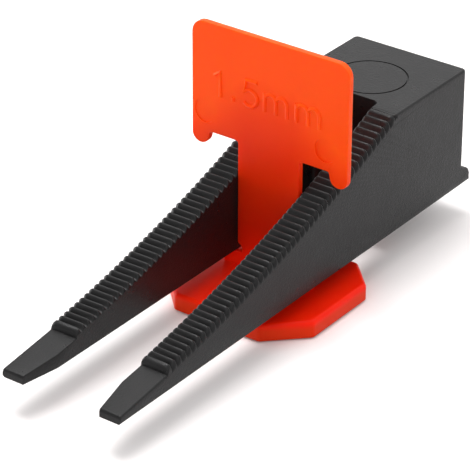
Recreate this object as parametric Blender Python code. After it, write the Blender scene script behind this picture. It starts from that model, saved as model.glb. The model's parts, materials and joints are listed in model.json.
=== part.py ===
"""Tile levelling clip with its forked wedge.

A thin T-headed clip stands on an eight-sided base plate. A forked wedge straddles the clip's stem,
and the ribs on its rising top catch under the clip's head as it is pushed in.

Axes: X across the wedge, -Y towards the wedge's tips, +Z up. The origin lies on the underside of the
base plate, below the middle of the clip's sheet.
"""
import math

import bmesh
import bpy
from mathutils import Vector

MM = 0.001

# Clip, base plate
PLATE_WIDTH = 38.6 * MM
PLATE_DEPTH = 34.6 * MM
PLATE_LEAD = 1.7 * MM
PLATE_THICKNESS = 4.1 * MM
PLATE_FRONT_CHAMFER = 8.3 * MM
PLATE_BACK_CHAMFER = 6.7 * MM
PLATE_CORNER_RADIUS = 1.4 * MM
PLATE_TOP_ROUNDING = 0.9 * MM
PLATE_FOOT_ROUNDING = 0.3 * MM

# Clip, upright sheet
SHEET_THICKNESS = 1.5 * MM
SHEET_EDGE_ROUNDING = 0.22 * MM
SHEET_ROOT = 1.5 * MM
HEAD_HEIGHT = 25.4 * MM
HEAD_CORNER_RADIUS = 3.0 * MM
HOOK_WIDTH = 4.7 * MM
HOOK_DROP = 3.2 * MM
HOOK_SLANT = 0.7 * MM
HOOK_ROUNDNESS = 0.98
NOTCH_DEPTH = 1.2 * MM
NOTCH_NECK = 1.2 * MM
NOTCH_SLOPE = 1.1 * MM
INNER_FILLET = 0.6 * MM
EJECTOR_RADIUS = 2.75 * MM
EJECTOR_DEPTH = 0.25 * MM
EJECTOR_REACH = 15.5 * MM
EJECTOR_SHIFT = -1.0 * MM
EJECTOR_RISE = 4.7 * MM

# Fits between the clip and the wedge
SEAT_GAP = 0.3 * MM
STEM_CLEARANCE = 0.3 * MM
HOOK_CLEARANCE = 0.3 * MM
FOOT_LEDGE = 3.3 * MM
WEDGE_LIFT = 3.5 * MM
SHOULDER_OVER_RIBS = 7.0 * MM
TIP_TO_STEM = 70.1 * MM

# Wedge, block and fork
WEDGE_WIDTH = 30.0 * MM
WEDGE_LENGTH = 123.8 * MM
WEDGE_HEIGHT = 28.8 * MM
SIDE_DRAFT = 0.2 * MM
SLOT_WIDTH = 16.4 * MM
SLOT_CORNER_RADIUS = 1.4 * MM
TIP_NARROWING = 1.5 * MM
TIP_TAPER = 9.1 * MM
TIP_HEIGHT = 1.9 * MM
TIP_ROUNDING = 0.5 * MM
TONGUE_LENGTH = 15.1 * MM
TONGUE_HEIGHT = 3.9 * MM
EDGE_ROUNDING = 0.45 * MM
BOTTOM_CHAMFER = 0.4 * MM

# Wedge, ribbed ramp
RIB_COUNT = 49
FIRST_RIB_RUN = 1.0 * MM
FIRST_RIB_RISE = 1.8 * MM
LAST_RIB_LEDGE = 4.2 * MM
RAMP_START_ANGLE = 9.2
GROOVE_DEPTH = 0.85 * MM
GROOVE_SIDE_DEPTH = 0.5 * MM
GROOVE_WRAP = 2.0 * MM
RIB_END_RADIUS = 1.2 * MM
RIB_INNER_CHAMFER = 0.6 * MM
LAST_GROOVE_DEPTH = 0.4 * MM
GROOVE_EDGE_EASE = 0.4

# Wedge, heel
HEEL_LENGTH = 25.2 * MM
HEEL_CORNER_RADIUS = 1.2 * MM
LIP_REACH = 2.6 * MM
LIP_HEIGHT = 4.2 * MM
LIP_FLAT = 1.6 * MM
RING_RADIUS = 8.2 * MM
RING_WIDTH = 0.4 * MM
RING_DEPTH = 0.3 * MM
RING_SETBACK = 0.8 * MM
POCKET_WALL = 2.4 * MM
POCKET_WEB = 2.0 * MM
POCKET_CORNER_RADIUS = 1.5 * MM

# How finely the round stretches are drawn
ARC_STEPS = 6
RING_STEPS = 64
DISC_STEPS = 32
CUTTER_REACH = 2.0 * MM
WELD_DISTANCE = 0.0001 * MM

# Where the cross-sections lie: shares of the tip's rounding, of the way from the first crest down to
# the tongue, and of the rib pitch, counted from a crest. For a groove, the second value is how much of
# its full depth is reached there.
TIP_STATIONS = (0.0, 0.4, 1.0)
FIRST_RIB_STATIONS = (0.97, 0.8, 0.5)
RIB_STATIONS = ((-0.4, 1.0), (-0.24, 0.35), (-0.08, 0.0), (0.08, 0.0), (0.24, 0.35), (0.4, 1.0))
LAST_GROOVE_STATIONS = ((0.3, 0.15), (0.5, 1.0), (0.6, 0.2))
EDGE_ANGLES = (0.0, 35.0, 65.0, 90.0)
TOP_COLUMN = len(EDGE_ANGLES)

# Colours: linear red, green and blue
CLIP_COLOUR = (0.86, 0.055, 0.012, 1.0)
WEDGE_COLOUR = (0.045, 0.044, 0.045, 1.0)
CLIP_ROUGHNESS = 0.32
WEDGE_ROUGHNESS = 0.5

# Angles between faces, in degrees, above which an edge is rounded or kept crisp
SHEET_EDGE_ANGLE = 50.0
CLIP_CRISP_ANGLE = 40.0
WEDGE_CRISP_ANGLE = 50.0

# Sizes that follow from the ones above
WEDGE_BASE = PLATE_THICKNESS + WEDGE_LIFT
SLOT_LENGTH = WEDGE_LENGTH - HEEL_LENGTH
FIRST_RIB = TONGUE_LENGTH + FIRST_RIB_RUN
LAST_RIB = SLOT_LENGTH - LAST_RIB_LEDGE
RIB_PITCH = (LAST_RIB - FIRST_RIB) / (RIB_COUNT - 1)
RAMP_LOW = TONGUE_HEIGHT + FIRST_RIB_RISE
RING_CENTRE = SLOT_LENGTH + RING_SETBACK + RING_RADIUS


def clear_scene():
    """Removes whatever the file already holds."""
    for item in list(bpy.data.objects):
        bpy.data.objects.remove(item, do_unlink=True)


def plastic(name, colour, roughness):
    """A plain moulded plastic."""
    material = bpy.data.materials.new(name)
    material.use_nodes = True
    shader = material.node_tree.nodes["Principled BSDF"]
    shader.inputs["Base Color"].default_value = colour
    shader.inputs["Roughness"].default_value = roughness
    shader.inputs["Metallic"].default_value = 0.0
    return material


def add_object(name, mesh, material=None):
    """Puts a bmesh into the scene as an object."""
    bmesh.ops.recalc_face_normals(mesh, faces=mesh.faces)
    data = bpy.data.meshes.new(name)
    mesh.to_mesh(data)
    mesh.free()
    item = bpy.data.objects.new(name, data)
    bpy.context.scene.collection.objects.link(item)
    if material is not None:
        data.materials.append(material)
    return item


def as_operand(item):
    """Marks an object as one that only cuts or joins another."""
    item.hide_render = True
    item.display_type = "WIRE"
    return item


def add_boolean(item, operand, operation):
    """Cuts or joins a marked operand and keeps the step as a modifier."""
    step = item.modifiers.new(operand.name, "BOOLEAN")
    step.operation = operation
    step.solver = "EXACT"
    step.object = operand


def rounded_outline(corners):
    """Points of a closed outline from (a, b, radius) corners, each round one as an arc."""
    points = []
    count = len(corners)
    for index, (a, b, radius) in enumerate(corners):
        here = Vector((a, b))
        before = Vector(corners[index - 1][:2]) - here
        after = Vector(corners[(index + 1) % count][:2]) - here
        if radius <= 0.0:
            points.append(here)
            continue
        before.normalize()
        after.normalize()
        half = before.angle(after) / 2.0
        middle = (before + after).normalized()
        centre = here + middle * (radius / math.sin(half))
        start = here + before * (radius / math.tan(half)) - centre
        sweep = math.pi - 2.0 * half
        turn = 1.0 if before.cross(after) < 0.0 else -1.0
        for step in range(ARC_STEPS + 1):
            angle = turn * sweep * step / ARC_STEPS
            cosine = math.cos(angle)
            sine = math.sin(angle)
            offset = Vector((start.x * cosine - start.y * sine, start.x * sine + start.y * cosine))
            points.append(centre + offset)
    return points


def prism(outline, place, low, high):
    """A closed prism. place(a, b, height) turns an outline point and a height into X, Y, Z."""
    mesh = bmesh.new()
    bottom = [mesh.verts.new(place(p.x, p.y, low)) for p in outline]
    top = [mesh.verts.new(place(p.x, p.y, high)) for p in outline]
    mesh.faces.new(bottom)
    mesh.faces.new(top)
    for index in range(len(outline)):
        after = (index + 1) % len(outline)
        mesh.faces.new((bottom[index], bottom[after], top[after], top[index]))
    return mesh


# The clip


def plate_ring(inset):
    """The base plate's eight-sided outline, drawn in by an inset."""
    half_width = PLATE_WIDTH / 2.0 - inset
    front = -PLATE_LEAD - PLATE_DEPTH / 2.0 + inset
    back = -PLATE_LEAD + PLATE_DEPTH / 2.0 - inset
    shrink = inset * (2.0 - math.sqrt(2.0))
    front_cut = PLATE_FRONT_CHAMFER - shrink
    back_cut = PLATE_BACK_CHAMFER - shrink
    radius = PLATE_CORNER_RADIUS - inset
    right = [
        (half_width - front_cut, front, radius),
        (half_width, front + front_cut, radius),
        (half_width, back - back_cut, radius),
        (half_width - back_cut, back, radius),
    ]
    left = [(-x, y, r) for x, y, r in reversed(right)]
    return rounded_outline(right + left)


def make_plate():
    """The eight-sided base plate with its softly rounded top edge."""
    levels = [(0.0, PLATE_FOOT_ROUNDING), (PLATE_FOOT_ROUNDING, 0.0)]
    for step in range(ARC_STEPS + 1):
        angle = math.pi / 2.0 * step / ARC_STEPS
        height = PLATE_THICKNESS - PLATE_TOP_ROUNDING * (1.0 - math.sin(angle))
        levels.append((height, PLATE_TOP_ROUNDING * (1.0 - math.cos(angle))))
    mesh = bmesh.new()
    rings = []
    for height, inset in levels:
        rings.append([mesh.verts.new((p.x, p.y, height)) for p in plate_ring(inset)])
    mesh.faces.new(rings[0])
    mesh.faces.new(rings[-1])
    for lower, upper in zip(rings, rings[1:]):
        for index in range(len(lower)):
            after = (index + 1) % len(lower)
            mesh.faces.new((lower[index], lower[after], upper[after], upper[index]))
    return as_operand(add_object("clip_plate", mesh))


def shoulder_height():
    """Height of the head's lower edge, which the ribs meet as the wedge goes in."""
    return WEDGE_BASE + ramp_height(TIP_TO_STEM) + SHOULDER_OVER_RIBS


def head_side():
    """Half width of the head, out to the outer side of its hooks."""
    return WEDGE_WIDTH / 2.0 + HOOK_CLEARANCE + HOOK_WIDTH


def hook_end_radius():
    """Radius that rounds the end of a hook over most of its width, slanted inner side included."""
    slant = math.atan2(HOOK_DROP, HOOK_SLANT)
    return HOOK_ROUNDNESS * (HOOK_WIDTH - HOOK_SLANT) / (1.0 + math.tan(slant / 2.0))


def sheet_outline():
    """The clip's front outline: foot, breakaway notch, stem, shoulders, hooks and head."""
    stem = SLOT_WIDTH / 2.0 - STEM_CLEARANCE
    foot = SLOT_WIDTH / 2.0 + FOOT_LEDGE
    foot_top = WEDGE_BASE - SEAT_GAP
    neck = stem - NOTCH_DEPTH
    neck_top = foot_top + NOTCH_NECK
    shoulder = shoulder_height()
    hook_outer = head_side()
    hook_inner = hook_outer - HOOK_WIDTH
    hook_end = shoulder - HOOK_DROP
    hook_radius = hook_end_radius()
    right = [
        (foot, PLATE_THICKNESS - SHEET_ROOT, 0.0),
        (foot, foot_top, INNER_FILLET),
        (neck, foot_top, 0.0),
        (neck, neck_top, 0.0),
        (stem, neck_top + NOTCH_SLOPE, 0.0),
        (stem, shoulder, INNER_FILLET),
        (hook_inner, shoulder, INNER_FILLET),
        (hook_inner + HOOK_SLANT, hook_end, hook_radius),
        (hook_outer, hook_end, hook_radius),
        (hook_outer, shoulder + HEAD_HEIGHT, HEAD_CORNER_RADIUS),
    ]
    left = [(-x, z, r) for x, z, r in reversed(right)]
    return rounded_outline(right + left)


def make_clip():
    """The clip: one moulding of base plate and upright T-headed sheet."""
    half = SHEET_THICKNESS / 2.0
    mesh = prism(sheet_outline(), lambda x, z, y: (x, y, z), -half, half)
    clip = add_object("levelling_clip", mesh, plastic("clip_plastic", CLIP_COLOUR, CLIP_ROUGHNESS))
    rounding = clip.modifiers.new("edge rounding", "BEVEL")
    rounding.width = SHEET_EDGE_ROUNDING
    rounding.segments = 2
    rounding.limit_method = "ANGLE"
    rounding.angle_limit = math.radians(SHEET_EDGE_ANGLE)
    add_boolean(clip, make_plate(), "UNION")
    for side, name in ((-1.0, "left_ejector_mark"), (1.0, "right_ejector_mark")):
        centre = Vector((EJECTOR_SHIFT + side * EJECTOR_REACH, shoulder_height() + EJECTOR_RISE))
        add_boolean(clip, make_disc_cutter(name, centre), "DIFFERENCE")
    return clip


def make_disc_cutter(name, centre):
    """The shallow round mark on the head's front face."""
    outline = []
    for step in range(DISC_STEPS):
        angle = 2.0 * math.pi * step / DISC_STEPS
        outline.append(centre + EJECTOR_RADIUS * Vector((math.cos(angle), math.sin(angle))))
    front = -SHEET_THICKNESS / 2.0
    mesh = prism(outline, lambda x, z, y: (x, y, z), front - CUTTER_REACH, front + EJECTOR_DEPTH)
    return as_operand(add_object(name, mesh))


# The wedge


def ramp_height(reach):
    """Height of the rib crests over the wedge's underside, an arc that steepens towards the heel."""
    run = LAST_RIB - FIRST_RIB
    rise = WEDGE_HEIGHT - RAMP_LOW
    chord_angle = math.atan2(rise, run)
    start_angle = math.radians(RAMP_START_ANGLE)
    radius = math.hypot(run, rise) / (2.0 * math.sin(chord_angle - start_angle))
    across = reach - FIRST_RIB + radius * math.sin(start_angle)
    return RAMP_LOW + radius * math.cos(start_angle) - math.sqrt(radius ** 2 - across ** 2)


def outer_side(height):
    """Half width of the wedge, whose sides lean in a little towards the top."""
    return WEDGE_WIDTH / 2.0 - SIDE_DRAFT * height / WEDGE_HEIGHT


def inner_side(reach):
    """Half width of the slot at a distance from the tips: tapered at the tips, then even, then round."""
    half = SLOT_WIDTH / 2.0
    if reach < TIP_TAPER:
        return half + TIP_NARROWING * (1.0 - reach / TIP_TAPER)
    into_corner = reach - (SLOT_LENGTH - SLOT_CORNER_RADIUS)
    if into_corner <= 0.0:
        return half
    drop = math.sqrt(max(SLOT_CORNER_RADIUS ** 2 - into_corner ** 2, 0.0))
    return half - SLOT_CORNER_RADIUS + drop


def station(reach, height, side_height, groove, radius, inner_chamfer):
    """One cross-section of the right prong's top, from the outer side over to the slot.

    groove is how deep the top is cut there, and side_height is where the rounding leaves the side.
    """
    outer = outer_side(height)
    inner = inner_side(reach)
    points = [(outer_side(side_height), side_height)]
    share = groove / GROOVE_DEPTH
    for angle in EDGE_ANGLES:
        turn = math.radians(angle)
        cut = share * (GROOVE_SIDE_DEPTH + (GROOVE_DEPTH - GROOVE_SIDE_DEPTH) * angle / 90.0)
        x = outer - radius * (1.0 - math.cos(turn)) - cut * math.cos(turn)
        z = height - radius * (1.0 - math.sin(turn)) - cut * math.sin(turn)
        points.append((x, z))
    points.append((inner + inner_chamfer, height - groove))
    points.append((inner, height - groove - inner_chamfer * (1.0 - GROOVE_EDGE_EASE * share)))
    return reach, points


def ellipse_drop(share, depth):
    """How far a rounded end has fallen away at a share of the way to its foot."""
    return depth * (1.0 - math.sqrt(max(1.0 - share * share, 0.0)))


def tongue_stations():
    """The smooth, thin end of each prong."""
    stations = []
    slope = (TONGUE_HEIGHT - TIP_HEIGHT) / TONGUE_LENGTH
    for share in TIP_STATIONS:
        reach = TIP_ROUNDING * share
        fall = ellipse_drop(1.0 - share, TIP_ROUNDING)
        stations.append(plain_station(reach, TIP_HEIGHT + slope * reach - fall))
    for reach in (TIP_TAPER, TONGUE_LENGTH):
        stations.append(plain_station(reach, TIP_HEIGHT + slope * reach))
    return stations


def plain_station(reach, height):
    """A cross-section with small, even edges and no groove."""
    return station(reach, height, height - 2.0 * EDGE_ROUNDING, 0.0, EDGE_ROUNDING, EDGE_ROUNDING / 2.0)


def rib_stations():
    """The row of narrow-crested ribs, whose grooves run over the outer edge and fade on the side."""
    stations = []
    side = TONGUE_HEIGHT - 2.0 * EDGE_ROUNDING
    for share in FIRST_RIB_STATIONS:
        reach = FIRST_RIB - FIRST_RIB_RUN * share
        height = RAMP_LOW - ellipse_drop(share, FIRST_RIB_RISE)
        grown = (height - TONGUE_HEIGHT) / FIRST_RIB_RISE
        radius = EDGE_ROUNDING + (RIB_END_RADIUS - EDGE_ROUNDING) * grown
        stations.append(station(reach, height, side, 0.0, radius, RIB_INNER_CHAMFER))
    for rib in range(RIB_COUNT):
        crest = FIRST_RIB + rib * RIB_PITCH
        last = rib == RIB_COUNT - 1
        for offset, depth in RIB_STATIONS:
            if (rib == 0 and offset < 0.0) or (last and offset > 0.0):
                continue
            reach = crest + offset * RIB_PITCH
            height = ramp_height(reach)
            groove = GROOVE_DEPTH * depth
            side = height - GROOVE_WRAP
            stations.append(station(reach, height, side, groove, RIB_END_RADIUS, RIB_INNER_CHAMFER))
    radius = (RIB_END_RADIUS + EDGE_ROUNDING) / 2.0
    for share, depth in LAST_GROOVE_STATIONS:
        reach = LAST_RIB + share * RIB_PITCH
        side = WEDGE_HEIGHT - GROOVE_WRAP * (1.0 - share)
        groove = LAST_GROOVE_DEPTH * depth
        stations.append(station(reach, WEDGE_HEIGHT, side, groove, radius, EDGE_ROUNDING))
    return stations


def flat_stations():
    """The flat top from the last rib to the slot's end, closing in round the slot's corners."""
    corner = SLOT_LENGTH - SLOT_CORNER_RADIUS
    reaches = [LAST_RIB + RIB_PITCH, corner]
    for step in range(1, ARC_STEPS + 1):
        reaches.append(corner + SLOT_CORNER_RADIUS * math.sin(math.pi / 2.0 * step / ARC_STEPS))
    return [plain_station(reach, WEDGE_HEIGHT) for reach in reaches]


class WedgeMesh:
    """Collects faces by their corner points, so that neighbours share their corners."""

    def __init__(self):
        self.mesh = bmesh.new()
        self.known = {}

    def corner(self, x, reach, height):
        """The vertex at a place given from the wedge's centre line, tips and underside."""
        place = (x, reach - TIP_TO_STEM, WEDGE_BASE + height)
        key = tuple(round(value / WELD_DISTANCE) for value in place)
        if key not in self.known:
            self.known[key] = self.mesh.verts.new(place)
        return self.known[key]

    def face(self, places):
        """A face through the places, without repeated corners."""
        corners = []
        for place in places:
            vertex = self.corner(*place)
            if vertex not in corners:
                corners.append(vertex)
        if len(corners) > 2:
            self.mesh.faces.new(corners)


def lip_outline():
    """The rounded lip along the foot of the back face, from its top down, as (reach, height)."""
    points = []
    rise = LIP_HEIGHT - LIP_FLAT
    for step in range(ARC_STEPS + 1):
        angle = math.pi / 2.0 * (1.0 - step / ARC_STEPS)
        points.append((WEDGE_LENGTH + LIP_REACH * math.cos(angle), LIP_FLAT + rise * math.sin(angle)))
    points.append((WEDGE_LENGTH + LIP_REACH, BOTTOM_CHAMFER))
    return points


def heel_arc(height, inset):
    """The heel's upright back corner at one height, drawn in by an inset, from the side to the back."""
    radius = HEEL_CORNER_RADIUS - inset
    across = outer_side(height) - HEEL_CORNER_RADIUS
    along = WEDGE_LENGTH - HEEL_CORNER_RADIUS
    points = []
    for step in range(ARC_STEPS + 1):
        angle = math.pi / 2.0 * step / ARC_STEPS
        points.append((across + radius * math.cos(angle), along + radius * math.sin(angle), height))
    return points


def heel_arcs(rows):
    """The corner's arcs from the lip up over the rounded top edge."""
    arcs = [heel_arc(LIP_HEIGHT, 0.0)]
    for x, height in rows[-1][1][:TOP_COLUMN + 1]:
        arcs.append(heel_arc(height, outer_side(height) - x))
    return arcs


def on_side(side, places):
    """The same places on the right (1) or left (-1) side."""
    return [(side * x, reach, height) for x, reach, height in places]


def strip(wedge, side, lower, upper):
    """Faces between two rows of places with as many places each."""
    for index in range(len(lower) - 1):
        wedge.face(on_side(side, [lower[index], lower[index + 1], upper[index + 1], upper[index]]))


def build_prong(wedge, side, rows):
    """The ribbed top, outer side, underside edge, tip and slot wall of one prong."""
    for (reach, points), (next_reach, next_points) in zip(rows, rows[1:]):
        here = [(x, reach, z) for x, z in points]
        following = [(x, next_reach, z) for x, z in next_points]
        for column in range(len(points) - 1):
            on_flat = here[column][2] == following[column][2] == WEDGE_HEIGHT
            if column == TOP_COLUMN and on_flat:
                continue
            strip(wedge, side, here[column:column + 2], following[column:column + 2])

    arcs = heel_arcs(rows)
    lip = [(outer_side(height), reach, height) for reach, height in lip_outline()]
    edge = (outer_side(BOTTOM_CHAMFER), 0.0, BOTTOM_CHAMFER)
    outline = [(points[0][0], reach, points[0][1]) for reach, points in rows]
    wedge.face(on_side(side, outline + [arcs[1][0], arcs[0][0]] + lip + [edge]))

    inset = WEDGE_WIDTH / 2.0 - BOTTOM_CHAMFER
    end = WEDGE_LENGTH + LIP_REACH
    corner = (inset, 0.0, 0.0)
    wedge.face(on_side(side, [edge, lip[-1], (inset, end - BOTTOM_CHAMFER, 0.0), corner]))

    tip = [(x, 0.0, z) for x, z in rows[0][1]]
    wedge.face(on_side(side, tip + [(tip[-1][0], 0.0, 0.0), corner, edge]))
    build_slot_wall(wedge, side, rows)


def build_slot_wall(wedge, side, rows):
    """The upright wall of the slot: the slanted tip, the long flat and the round corner."""
    corner = SLOT_LENGTH - SLOT_CORNER_RADIUS
    for start, stop in ((0.0, TIP_TAPER), (TIP_TAPER, corner)):
        inside = [row for row in rows if start - WELD_DISTANCE <= row[0] <= stop + WELD_DISTANCE]
        top = [(points[-1][0], reach, points[-1][1]) for reach, points in inside]
        foot = [(top[-1][0], top[-1][1], 0.0), (top[0][0], top[0][1], 0.0)]
        wedge.face(on_side(side, top + foot))
    bend = [row for row in rows if row[0] >= corner - WELD_DISTANCE]
    top = [(points[-1][0], reach, points[-1][1]) for reach, points in bend]
    foot = [(x, reach, 0.0) for x, reach, height in top]
    strip(wedge, side, foot, top)


def build_heel_corner(wedge, side, rows):
    """The heel's rounded upright edge, and the rounded top edge that runs into it."""
    arcs = heel_arcs(rows)
    for lower, upper in zip(arcs, arcs[1:]):
        strip(wedge, side, lower, upper)
    reach, points = rows[-1]
    front = [(x, reach, z) for x, z in points[:TOP_COLUMN + 1]]
    back = [arc[0] for arc in arcs[1:]]
    strip(wedge, side, front, back)
    ledge = (outer_side(LIP_HEIGHT), WEDGE_LENGTH, LIP_HEIGHT)
    wedge.face(on_side(side, arcs[0] + [ledge]))


def across_both(places):
    """A chain of places on the right side, carried on by its mirror image on the left."""
    return places + on_side(-1.0, places)[::-1]


def build_middle(wedge, rows):
    """What the two prongs share: slot end, underside, flat top, back face and lip."""
    last_reach, last_points = rows[-1]
    ledge = (last_points[-2][0], last_reach, last_points[-2][1])
    wall = (last_points[-1][0], last_reach, last_points[-1][1])
    wedge.face(across_both([(wall[0], last_reach, 0.0), wall]))
    wedge.face(across_both([wall, ledge]))

    # underside, round the slot
    inset = WEDGE_WIDTH / 2.0 - BOTTOM_CHAMFER
    end = WEDGE_LENGTH + LIP_REACH
    corner = SLOT_LENGTH - SLOT_CORNER_RADIUS
    slot = [(inner_side(0.0), 0.0, 0.0), (SLOT_WIDTH / 2.0, TIP_TAPER, 0.0)]
    for reach, points in rows:
        if reach >= corner - WELD_DISTANCE:
            slot.append((points[-1][0], reach, 0.0))
    outside = [(inset, end - BOTTOM_CHAMFER, 0.0), (inset, 0.0, 0.0)]
    wedge.face(across_both(outside + slot))

    # flat top, round the slot's end
    flat = [row for row in rows if row[0] > LAST_RIB and row[1][TOP_COLUMN][1] == WEDGE_HEIGHT]
    flat = [row for row in flat if row[1][TOP_COLUMN + 1][1] == WEDGE_HEIGHT]
    inner_edge = [(points[TOP_COLUMN + 1][0], reach, WEDGE_HEIGHT) for reach, points in flat]
    outer_edge = [(points[TOP_COLUMN][0], reach, WEDGE_HEIGHT) for reach, points in flat]
    arcs = heel_arcs(rows)
    wedge.face(across_both(inner_edge[::-1] + outer_edge + arcs[-1]))

    # back face and its rounded top edge
    for lower, upper in zip(arcs, arcs[1:]):
        wedge.face(across_both([lower[-1], upper[-1]]))

    # lip, whose first face also meets the rounded corners
    lip = [(outer_side(height), reach, height) for reach, height in lip_outline()]
    wedge.face(across_both([lip[1], lip[0], arcs[0][-1]]))
    for upper, lower in zip(lip[1:], lip[2:]):
        wedge.face(across_both([upper, lower]))
    wedge.face(across_both([lip[-1], (inset, end - BOTTOM_CHAMFER, 0.0)]))


def make_ring_cutter():
    """The thin round groove in the heel's flat top."""
    mesh = bmesh.new()
    top = WEDGE_BASE + WEDGE_HEIGHT
    rings = []
    for radius, height in (
        (RING_RADIUS - RING_WIDTH / 2.0, top - RING_DEPTH),
        (RING_RADIUS + RING_WIDTH / 2.0, top - RING_DEPTH),
        (RING_RADIUS + RING_WIDTH / 2.0, top + CUTTER_REACH),
        (RING_RADIUS - RING_WIDTH / 2.0, top + CUTTER_REACH),
    ):
        ring = []
        for step in range(RING_STEPS):
            angle = 2.0 * math.pi * step / RING_STEPS
            x = radius * math.cos(angle)
            y = RING_CENTRE - TIP_TO_STEM + radius * math.sin(angle)
            ring.append(mesh.verts.new((x, y, height)))
        rings.append(ring)
    for index, ring in enumerate(rings):
        following = rings[(index + 1) % len(rings)]
        for step in range(RING_STEPS):
            after = (step + 1) % RING_STEPS
            mesh.faces.new((ring[step], ring[after], following[after], following[step]))
    return as_operand(add_object("ring_groove_cutter", mesh))


def make_pocket_cutter(name, side):
    """One of the two pockets that core the heel out from below, with a web between them."""
    near = side * POCKET_WEB / 2.0
    far = side * (WEDGE_WIDTH / 2.0 - POCKET_WALL)
    front = SLOT_LENGTH + POCKET_WALL - TIP_TO_STEM
    back = WEDGE_LENGTH - POCKET_WALL - TIP_TO_STEM
    corners = ((near, front), (far, front), (far, back), (near, back))
    outline = rounded_outline([(x, y, POCKET_CORNER_RADIUS) for x, y in corners])
    roof = WEDGE_BASE + WEDGE_HEIGHT - POCKET_WALL
    mesh = prism(outline, lambda x, y, z: (x, y, z), WEDGE_BASE - CUTTER_REACH, roof)
    return as_operand(add_object(name, mesh))


def make_wedge():
    """The forked, ribbed wedge as one moulding."""
    rows = tongue_stations() + rib_stations() + flat_stations()
    wedge_mesh = WedgeMesh()
    for side in (1.0, -1.0):
        build_prong(wedge_mesh, side, rows)
        build_heel_corner(wedge_mesh, side, rows)
    build_middle(wedge_mesh, rows)
    material = plastic("wedge_plastic", WEDGE_COLOUR, WEDGE_ROUGHNESS)
    wedge = add_object("forked_wedge", wedge_mesh.mesh, material)
    add_boolean(wedge, make_pocket_cutter("left_pocket_cutter", -1.0), "DIFFERENCE")
    add_boolean(wedge, make_pocket_cutter("right_pocket_cutter", 1.0), "DIFFERENCE")
    add_boolean(wedge, make_ring_cutter(), "DIFFERENCE")
    return wedge


def shade(item, angle):
    """Smooth shading with the sharper edges kept crisp."""
    item.data.shade_smooth()
    item.data.set_sharp_from_angle(angle=math.radians(angle))


def main():
    """Builds the two mouldings."""
    clear_scene()
    shade(make_clip(), CLIP_CRISP_ANGLE)
    shade(make_wedge(), WEDGE_CRISP_ANGLE)


main()
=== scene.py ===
"""Looks of the tile levelling clip and its forked wedge: finishes, raised size mark and studio."""
import json
import math
from collections import namedtuple

import bpy
from mathutils import Matrix, Vector

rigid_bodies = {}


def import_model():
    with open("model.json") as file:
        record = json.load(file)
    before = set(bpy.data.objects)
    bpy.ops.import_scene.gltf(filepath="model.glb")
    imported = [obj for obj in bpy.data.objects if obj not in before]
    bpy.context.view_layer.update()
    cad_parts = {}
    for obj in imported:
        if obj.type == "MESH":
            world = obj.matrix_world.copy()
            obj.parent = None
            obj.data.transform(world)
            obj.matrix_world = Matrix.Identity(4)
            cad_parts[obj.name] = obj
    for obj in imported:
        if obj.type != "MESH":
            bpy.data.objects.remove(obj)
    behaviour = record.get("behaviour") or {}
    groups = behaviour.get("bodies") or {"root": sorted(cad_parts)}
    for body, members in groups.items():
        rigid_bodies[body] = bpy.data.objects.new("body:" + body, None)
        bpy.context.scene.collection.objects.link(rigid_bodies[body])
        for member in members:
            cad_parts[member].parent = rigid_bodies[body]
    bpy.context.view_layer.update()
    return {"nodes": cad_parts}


for leftover in list(bpy.data.objects):
    bpy.data.objects.remove(leftover, do_unlink=True)

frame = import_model()

SkyRise = namedtuple("SkyRise", "axis start stop gain")
SoftLight = namedtuple("SoftLight", "name place target size watts")

MM = 0.001

# Camera, with its angles in degrees and its offset in the picture's pixels
VIEW_AZIMUTH = 36.774
VIEW_ELEVATION = 29.627
VIEW_DISTANCE = 573.09 * MM
VIEW_TARGET = Vector((0.0, -20.1, 17.6)) * MM
VIEW_OFFSET_RIGHT = 22.0
VIEW_OFFSET_UP = 20.85
FOCAL_PIXELS = 2761.24
PICTURE_PIXELS = 470.0
SENSOR = 36.0
CAMERA_NEAR = 50.0 * MM
CAMERA_FAR = 10000.0 * MM

# Raised size mark on the head's front. The front is a Y, and the strokes are laid out in X and height
HEAD_FRONT = -0.75 * MM
MARK_HEIGHT = 5.9 * MM
MARK_BASE = 43.0 * MM
MARK_STROKE_RADIUS = 0.55 * MM
MARK_STROKE_ROUNDNESS = 2
MARK_SUNK = 0.15 * MM
ONE_STEM = -12.5 * MM
POINT_MIDDLE = -9.2 * MM
FIVE_LEFT = -6.5 * MM
LETTER_LEFTS = (-1.05 * MM, 7.05 * MM)
LETTER_LEG_STEP = 2.85 * MM
LETTER_HEIGHT = 4.25 * MM

# Strokes of the size mark, in shares of its height, with angles in degrees
ONE_FLAG = (-0.27, 0.79)
POINT_LENGTH = 0.15
FIVE_TOP = [(0.6, 1.0), (0.12, 1.0), (0.04, 0.52)]
FIVE_BOWL_MIDDLE = (0.28, 0.32)
FIVE_BOWL_RADII = (0.33, 0.32)
FIVE_BOWL_START = 130.0
FIVE_BOWL_TURN = 27.0
FIVE_BOWL_POINTS = 11
LETTER_ARCH_RISE = 0.26
LETTER_ARCH_START = 150.0
LETTER_ARCH_TURN = 30.0
LETTER_ARCH_POINTS = 6

# Clip's linear colours by height: the plastic's own red, with painted light and shade in it. The stem,
# shaded between the wedge's prongs, is painted darker, and the head's top lighter, as painted light shining
# through the thin plastic. Towards the sides a height counts as more, so the colour is paler, a painted
# glow of light through the hooks
CLIP_COLOUR_LIGHT_AND_SHADE_BANDS = (
    (2.9 * MM, (0.78, 0.032, 0.003, 1.0)),
    (4.3 * MM, (0.91, 0.014, 0.001, 1.0)),
    (15.0 * MM, (0.60, 0.015, 0.001, 1.0)),
    (24.0 * MM, (0.61, 0.022, 0.0015, 1.0)),
    (33.0 * MM, (0.71, 0.028, 0.0015, 1.0)),
    (41.0 * MM, (0.82, 0.047, 0.002, 1.0)),
    (50.0 * MM, (1.0, 0.084, 0.004, 1.0)),
)
# Painted glow through the hooks: between these distances from the middle a height counts as more, up to
# this gain
CLIP_SIDE_START = 6.0 * MM
CLIP_SIDE_END = 18.0 * MM
CLIP_SIDE_PAINTED_GLOW_GAIN = 1.28

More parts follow.
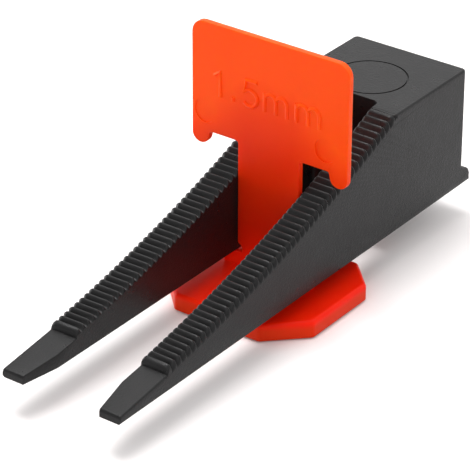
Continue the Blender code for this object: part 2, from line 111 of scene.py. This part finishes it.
# Other colours, linear
WEDGE_GREY = (0.0125, 0.0122, 0.0125, 1.0)
FLOOR_LIT = (0.66, 0.65, 0.65, 1.0)
FLOOR_SEEN = (0.845, 0.82, 0.815, 1.0)
FLOOR_GLOW = (0.05, 0.045, 0.045, 1.0)
WHITE = (1.0, 1.0, 1.0, 1.0)

# Finish of the surfaces
NOISE_LOW = 0.3
NOISE_HIGH = 0.7
WELD_REACH = 0.001 * MM
CLIP_CRISP_DEGREES = 38.0
WEDGE_CRISP_DEGREES = 50.0

# Studio. The floor turns plain white between its near and its far distance from the object
FLOOR_SIZE = 6.0
FLOOR_GAP = 0.2 * MM
FLOOR_NEAR = 120.0 * MM
FLOOR_FAR = 300.0 * MM
SKY_LEVEL = 0.33
SKY_RISES = (
    SkyRise("Y", start=0.05, stop=0.85, gain=0.72),
    SkyRise("Z", start=0.3, stop=0.95, gain=0.62),
    SkyRise("X", start=0.1, stop=0.9, gain=0.25),
)
SOFT_LIGHTS = (
    SoftLight("overhead", place=(-0.20, 0.03, 0.93), target=(0.0, 0.0, 0.0), size=0.48, watts=6.0),
    SoftLight("overhead_left", place=(-0.30, 0.10, 0.90), target=(0.0, 0.0, 0.0), size=0.60, watts=1.8),
    SoftLight("front", place=(0.30, -0.75, 0.30), target=(0.0, 0.0, 0.03), size=0.50, watts=1.1),
    SoftLight("left", place=(-0.86, -0.20, 0.16), target=(0.0, 0.0, 0.04), size=0.30, watts=3.2),
)


# Shader helpers


class Nodes:
    """The node tree of a material or a world, with short calls for its nodes and links."""

    def __init__(self, owner, shader, output):
        owner.use_nodes = True
        self.owner = owner
        self.tree = owner.node_tree
        self.shader = self.tree.nodes[shader]
        self.output = self.tree.nodes[output]

    def add(self, kind, **settings):
        """A node with its settings and its unlinked inputs' values."""
        node = self.tree.nodes.new(kind)
        for key, value in settings.items():
            if key in node.inputs:
                node.inputs[key].default_value = value
            else:
                setattr(node, key, value)
        return node

    def link(self, source, target):
        """Joins an output to an input."""
        self.tree.links.new(source, target)

    def set(self, **values):
        """Values straight on the shader's own sockets."""
        for key, value in values.items():
            self.shader.inputs[key.replace("_", " ")].default_value = value

    def place(self, kind):
        """A point's coordinates of one kind."""
        return self.add("ShaderNodeTexCoord").outputs[kind]

    def axes(self, point):
        """A point's coordinates as X, Y and Z."""
        parts = self.add("ShaderNodeSeparateXYZ")
        self.link(point, parts.inputs["Vector"])
        return parts.outputs

    def mapped(self, value, start, stop, low=0.0, high=1.0, curve="LINEAR"):
        """A value taken from one range to another, and held at both ends."""
        node = self.add("ShaderNodeMapRange", interpolation_type=curve)
        for name, number in (("From Min", start), ("From Max", stop), ("To Min", low), ("To Max", high)):
            node.inputs[name].default_value = number
        self.link(value, node.inputs["Value"])
        return node.outputs["Result"]

    def noise(self, scale, detail=3.0, sharpness=0.5):
        """Object-space noise, counted per metre."""
        noise = self.add("ShaderNodeTexNoise", Scale=scale, Detail=detail, Roughness=sharpness)
        self.link(self.place("Object"), noise.inputs["Vector"])
        return noise.outputs["Fac"]

    def mottle(self, scale, low, high):
        """A soft unevenness between two values."""
        return self.mapped(self.noise(scale), NOISE_LOW, NOISE_HIGH, low, high)

    def grain(self, scale, detail, depth, strength, sharpness=0.5, under=None):
        """A bump from noise, on top of another bump if there is one."""
        bump = self.add("ShaderNodeBump", Distance=depth, Strength=strength)
        self.link(self.noise(scale, detail, sharpness), bump.inputs["Height"])
        if under is not None:
            self.link(under, bump.inputs["Normal"])
        return bump.outputs["Normal"]

    def tint(self, colour, scale, darker, lighter):
        """A colour that noise makes a little darker or lighter."""
        ramp = self.add("ShaderNodeValToRGB")
        ends = ((NOISE_LOW, darker), (NOISE_HIGH, lighter))
        for element, (position, factor) in zip(ramp.color_ramp.elements, ends):
            element.color = [channel * factor for channel in colour[:3]] + [1.0]
            element.position = position
        self.link(self.noise(scale), ramp.inputs["Fac"])
        return ramp.outputs["Color"]

    def bands(self, value, stops):
        """The colour that belongs to a value, between stops that rise from zero to the last one."""
        ramp = self.add("ShaderNodeValToRGB")
        elements = ramp.color_ramp.elements
        top = stops[-1][0]
        while len(elements) < len(stops):
            elements.new(0.5)
        for element, (stop, colour) in zip(elements, stops):
            element.position = stop / top
            element.color = colour
        self.link(self.mapped(value, 0.0, top), ramp.inputs["Fac"])
        return ramp.outputs["Color"]

    def product(self, first, second):
        """Two values multiplied."""
        node = self.add("ShaderNodeMath", operation="MULTIPLY")
        self.link(first, node.inputs[0])
        self.link(second, node.inputs[1])
        return node.outputs["Value"]

    def scaled(self, colour, factor):
        """A colour multiplied by a value."""
        node = self.add("ShaderNodeVectorMath", operation="SCALE")
        self.link(colour, node.inputs["Vector"])
        self.link(factor, node.inputs["Scale"])
        return node.outputs["Vector"]

    def mix(self, share, first, second):
        """One shader that gives way to another."""
        node = self.add("ShaderNodeMixShader")
        for source, target in zip((share, first, second), node.inputs):
            self.link(source, target)
        return node.outputs["Shader"]


def material_nodes(name):
    """A new material's nodes."""
    return Nodes(bpy.data.materials.new(name), "Principled BSDF", "Material Output")


# Materials


def clip_painted_light_height(nodes):
    """A point's height on the clip, which counts as more towards the sides, so that the painted glow of
    light through the hooks grows there.
    """
    axes = nodes.axes(nodes.place("Object"))
    side = nodes.add("ShaderNodeMath", operation="ABSOLUTE")
    nodes.link(axes["X"], side.inputs[0])
    gain = nodes.mapped(side.outputs["Value"], CLIP_SIDE_START, CLIP_SIDE_END, 1.0, CLIP_SIDE_PAINTED_GLOW_GAIN)
    return nodes.product(axes["Z"], gain)


def clip_plastic():
    """Bright, smooth, slightly translucent moulded plastic, whose colour is painted deepest on the stem as
    shade and paler on the head's top and towards the sides as light shining through.
    """
    nodes = material_nodes("clip_red")
    # Base colour with painted light and shade: darker on the shaded stem, lighter where light would shine
    # through the head and hooks
    colour = nodes.bands(clip_painted_light_height(nodes), CLIP_COLOUR_LIGHT_AND_SHADE_BANDS)
    shade = nodes.mottle(scale=90.0, low=0.96, high=1.0)
    nodes.link(nodes.scaled(colour, shade), nodes.shader.inputs["Base Color"])
    nodes.link(nodes.mottle(scale=260.0, low=0.30, high=0.38), nodes.shader.inputs["Roughness"])
    coarse = nodes.grain(scale=120.0, detail=1.0, depth=0.4 * MM, strength=0.10)
    fine = nodes.grain(scale=2600.0, detail=2.0, depth=0.02 * MM, strength=0.25, under=coarse)
    nodes.link(fine, nodes.shader.inputs["Normal"])
    nodes.set(Subsurface_Weight=0.6, Subsurface_Scale=4.0 * MM, Subsurface_Radius=(1.0, 0.15, 0.04))
    nodes.set(IOR=1.46, Specular_IOR_Level=0.12)
    return nodes.owner


def wedge_plastic():
    """Dark grey moulded plastic with the fine grain of a spark-eroded mould."""
    nodes = material_nodes("wedge_grey")
    colour = nodes.tint(WEDGE_GREY, scale=70.0, darker=0.9, lighter=1.1)
    nodes.link(colour, nodes.shader.inputs["Base Color"])
    nodes.link(nodes.mottle(scale=300.0, low=0.27, high=0.35), nodes.shader.inputs["Roughness"])
    coarse = nodes.grain(scale=90.0, detail=1.0, depth=0.4 * MM, strength=0.08)
    fine = nodes.grain(scale=1700.0, detail=4.0, sharpness=0.7, depth=0.12 * MM, strength=0.6, under=coarse)
    nodes.link(fine, nodes.shader.inputs["Normal"])
    nodes.set(IOR=1.5, Specular_IOR_Level=0.20)
    return nodes.owner


def dress(item, material):
    """Gives a piece its material."""
    item.data.materials.clear()
    item.data.materials.append(material)


# Smoothing of the facets


def weld(item):
    """Joins the facets along their shared edges."""
    step = item.modifiers.new("weld", "WELD")
    step.merge_threshold = WELD_REACH


def smooth_by_angle(item, degrees):
    """Shades the facets smooth and keeps edges above an angle crisp."""
    group = bpy.data.node_groups.new(item.name + "_shading", "GeometryNodeTree")
    group.interface.new_socket("Geometry", in_out="INPUT", socket_type="NodeSocketGeometry")
    group.interface.new_socket("Geometry", in_out="OUTPUT", socket_type="NodeSocketGeometry")
    start = group.nodes.new("NodeGroupInput")
    end = group.nodes.new("NodeGroupOutput")
    faces = group.nodes.new("GeometryNodeSetShadeSmooth")
    faces.domain = "FACE"
    angle = group.nodes.new("GeometryNodeInputMeshEdgeAngle")
    crisp = group.nodes.new("FunctionNodeCompare")
    crisp.operation = "GREATER_THAN"
    crisp.inputs["B"].default_value = math.radians(degrees)
    edges = group.nodes.new("GeometryNodeSetShadeSmooth")
    edges.domain = "EDGE"
    edges.inputs["Shade Smooth"].default_value = False
    links = group.links
    links.new(start.outputs[0], faces.inputs["Geometry"])
    links.new(faces.outputs["Geometry"], edges.inputs["Geometry"])
    links.new(angle.outputs["Unsigned Angle"], crisp.inputs["A"])
    links.new(crisp.outputs["Result"], edges.inputs["Selection"])
    links.new(edges.outputs["Geometry"], end.inputs[0])
    step = item.modifiers.new("shading", "NODES")
    step.node_group = group
    weighted = item.modifiers.new("weighted normals", "WEIGHTED_NORMAL")
    weighted.keep_sharp = True


# Raised size mark


def arc(middle, radii, start, turn, count):
    """Points on an ellipse, clockwise from an angle in equal turns."""
    points = []
    for step in range(count):
        angle = math.radians(start - turn * step)
        points.append((middle[0] + radii[0] * math.cos(angle), middle[1] + radii[1] * math.sin(angle)))
    return points


def one_path():
    """The figure one: its flag and its stem."""
    return [ONE_FLAG, (0.0, 1.0), (0.0, 0.0)]


def point_path():
    """The decimal point: a stroke a little shorter than it is wide."""
    return [(0.0, 0.0), (0.0, POINT_LENGTH)]


def five_path():
    """The figure five: top bar, short upright and bowl."""
    bowl = arc(FIVE_BOWL_MIDDLE, FIVE_BOWL_RADII, FIVE_BOWL_START, FIVE_BOWL_TURN, FIVE_BOWL_POINTS)
    return FIVE_TOP + bowl


def letter_paths():
    """The letter m: a leg, then two arches that run down into the other two."""
    leg = LETTER_LEG_STEP / MARK_HEIGHT
    top = LETTER_HEIGHT / MARK_HEIGHT
    radii = (leg / 2.0, LETTER_ARCH_RISE)
    paths = [[(0.0, top), (0.0, 0.0)]]
    for start in (0.0, leg):
        middle = (start + leg / 2.0, top - LETTER_ARCH_RISE)
        arch = arc(middle, radii, LETTER_ARCH_START, LETTER_ARCH_TURN, LETTER_ARCH_POINTS)
        paths.append(arch + [(start + leg, 0.0)])
    return paths


def size_mark(head):
    """The joint's width, 1.5 mm, as low rounded strokes that a union joins to the head's front."""
    strokes = [(ONE_STEM, one_path()), (POINT_MIDDLE, point_path()), (FIVE_LEFT, five_path())]
    for left in LETTER_LEFTS:
        strokes += [(left, path) for path in letter_paths()]
    curve = bpy.data.curves.new("mark_strokes", "CURVE")
    curve.dimensions = "3D"
    curve.bevel_depth = MARK_STROKE_RADIUS
    curve.bevel_resolution = MARK_STROKE_ROUNDNESS
    curve.use_fill_caps = True
    for left, path in strokes:
        spline = curve.splines.new("POLY")
        spline.points.add(len(path) - 1)
        for point, (x, z) in zip(spline.points, path):
            point.co = (left + x * MARK_HEIGHT, 0.0, MARK_BASE + z * MARK_HEIGHT, 1.0)
    tube = bpy.data.objects.new("mark_strokes", curve)
    mesh = bpy.data.meshes.new_from_object(tube)
    mesh.transform(Matrix.Translation((0.0, HEAD_FRONT + MARK_SUNK, 0.0)))
    mark = bpy.data.objects.new("size_mark", mesh)
    bpy.context.scene.collection.objects.link(mark)
    mark.hide_render = True
    mark.display_type = "WIRE"
    union = head.modifiers.new("size mark", "BOOLEAN")
    union.operation = "UNION"
    union.solver = "EXACT"
    union.use_self = True
    union.object = mark


# Camera and studio


def make_camera():
    """The photograph's long-lens view, aimed so that the object sits as in the frame."""
    azimuth = math.radians(VIEW_AZIMUTH)
    elevation = math.radians(VIEW_ELEVATION)
    back = Vector((
        math.sin(azimuth) * math.cos(elevation),
        -math.cos(azimuth) * math.cos(elevation),
        math.sin(elevation),
    ))
    right = Vector((math.cos(azimuth), math.sin(azimuth), 0.0))
    up = back.cross(right)
    aim = -back + (right * VIEW_OFFSET_RIGHT + up * VIEW_OFFSET_UP) / FOCAL_PIXELS
    aim.normalize()
    side = aim.cross(up).normalized()
    data = bpy.data.cameras.new("camera")
    data.sensor_width = SENSOR
    data.lens = SENSOR * FOCAL_PIXELS / PICTURE_PIXELS
    data.clip_start = CAMERA_NEAR
    data.clip_end = CAMERA_FAR
    camera = bpy.data.objects.new("camera", data)
    bpy.context.scene.collection.objects.link(camera)
    turn = Matrix((side, side.cross(aim), -aim)).transposed()
    camera.matrix_world = Matrix.Translation(VIEW_TARGET + back * VIEW_DISTANCE) @ turn.to_4x4()
    bpy.context.scene.camera = camera


def floor_material():
    """Pale and matt. The camera sees it a little lighter, and white away from the object."""
    nodes = material_nodes("floor_white")
    lit = nodes.tint(FLOOR_LIT, scale=3.0, darker=0.995, lighter=1.005)
    nodes.link(lit, nodes.shader.inputs["Base Color"])
    nodes.set(Roughness=0.9, Specular_IOR_Level=0.1)
    matt = nodes.add("ShaderNodeBsdfDiffuse", Color=FLOOR_SEEN)
    glow = nodes.add("ShaderNodeEmission", Color=FLOOR_GLOW)
    lifted = nodes.add("ShaderNodeAddShader")
    nodes.link(matt.outputs["BSDF"], lifted.inputs[0])
    nodes.link(glow.outputs["Emission"], lifted.inputs[1])
    reach = nodes.add("ShaderNodeVectorMath", operation="LENGTH")
    nodes.link(nodes.place("Object"), reach.inputs["Vector"])
    far = nodes.mapped(reach.outputs["Value"], FLOOR_NEAR, FLOOR_FAR, curve="SMOOTHSTEP")
    white = nodes.add("ShaderNodeEmission", Color=WHITE)
    seen = nodes.mix(far, lifted.outputs["Shader"], white.outputs["Emission"])
    ray = nodes.add("ShaderNodeLightPath").outputs["Is Camera Ray"]
    surface = nodes.mix(ray, nodes.shader.outputs["BSDF"], seen)
    nodes.link(surface, nodes.output.inputs["Surface"])
    return nodes.owner


def make_floor():
    """A wide floor just below the object."""
    data = bpy.data.meshes.new("floor")
    half = FLOOR_SIZE / 2.0
    corners = [(-half, -half, 0.0), (half, -half, 0.0), (half, half, 0.0), (-half, half, 0.0)]
    data.from_pydata(corners, [], [(0, 1, 2, 3)])
    floor = bpy.data.objects.new("floor", data)
    bpy.context.scene.collection.objects.link(floor)
    floor.location.z = -FLOOR_GAP
    dress(floor, floor_material())


def make_world():
    """White surroundings, brighter behind, above and to the right. Seen directly, they are plain white."""
    world = bpy.data.worlds.new("studio")
    bpy.context.scene.world = world
    nodes = Nodes(world, "Background", "World Output")
    axes = nodes.axes(nodes.place("Generated"))
    level = None
    for rise in SKY_RISES:
        gain = nodes.mapped(axes[rise.axis], rise.start, rise.stop, high=rise.gain, curve="SMOOTHSTEP")
        total = nodes.add("ShaderNodeMath")
        if level is None:
            total.inputs[0].default_value = SKY_LEVEL
        else:
            nodes.link(level, total.inputs[0])
        nodes.link(gain, total.inputs[1])
        level = total.outputs["Value"]
    nodes.link(level, nodes.shader.inputs["Strength"])
    nodes.set(Color=WHITE)
    seen = nodes.add("ShaderNodeBackground", Color=WHITE)
    ray = nodes.add("ShaderNodeLightPath").outputs["Is Camera Ray"]
    surface = nodes.mix(ray, nodes.shader.outputs["Background"], seen.outputs["Background"])
    nodes.link(surface, nodes.output.inputs["Surface"])


def make_light(soft):
    """A square soft light that faces its target."""
    data = bpy.data.lights.new(soft.name, "AREA")
    data.size = soft.size
    data.energy = soft.watts
    light = bpy.data.objects.new(soft.name, data)
    bpy.context.scene.collection.objects.link(light)
    light.location = soft.place
    light.rotation_mode = "QUATERNION"
    light.rotation_quaternion = (Vector(soft.target) - Vector(soft.place)).to_track_quat("-Z", "Y")


def make_studio():
    """Floor, surroundings and soft lights."""
    make_floor()
    make_world()
    for soft in SOFT_LIGHTS:
        make_light(soft)


clip = frame["nodes"]["levelling_clip"]
wedge = frame["nodes"]["forked_wedge"]
for item, material in ((clip, clip_plastic()), (wedge, wedge_plastic())):
    dress(item, material)
    weld(item)
size_mark(clip)
smooth_by_angle(clip, CLIP_CRISP_DEGREES)
smooth_by_angle(wedge, WEDGE_CRISP_DEGREES)

make_camera()
make_studio()
bpy.context.scene.view_settings.view_transform = "Standard"
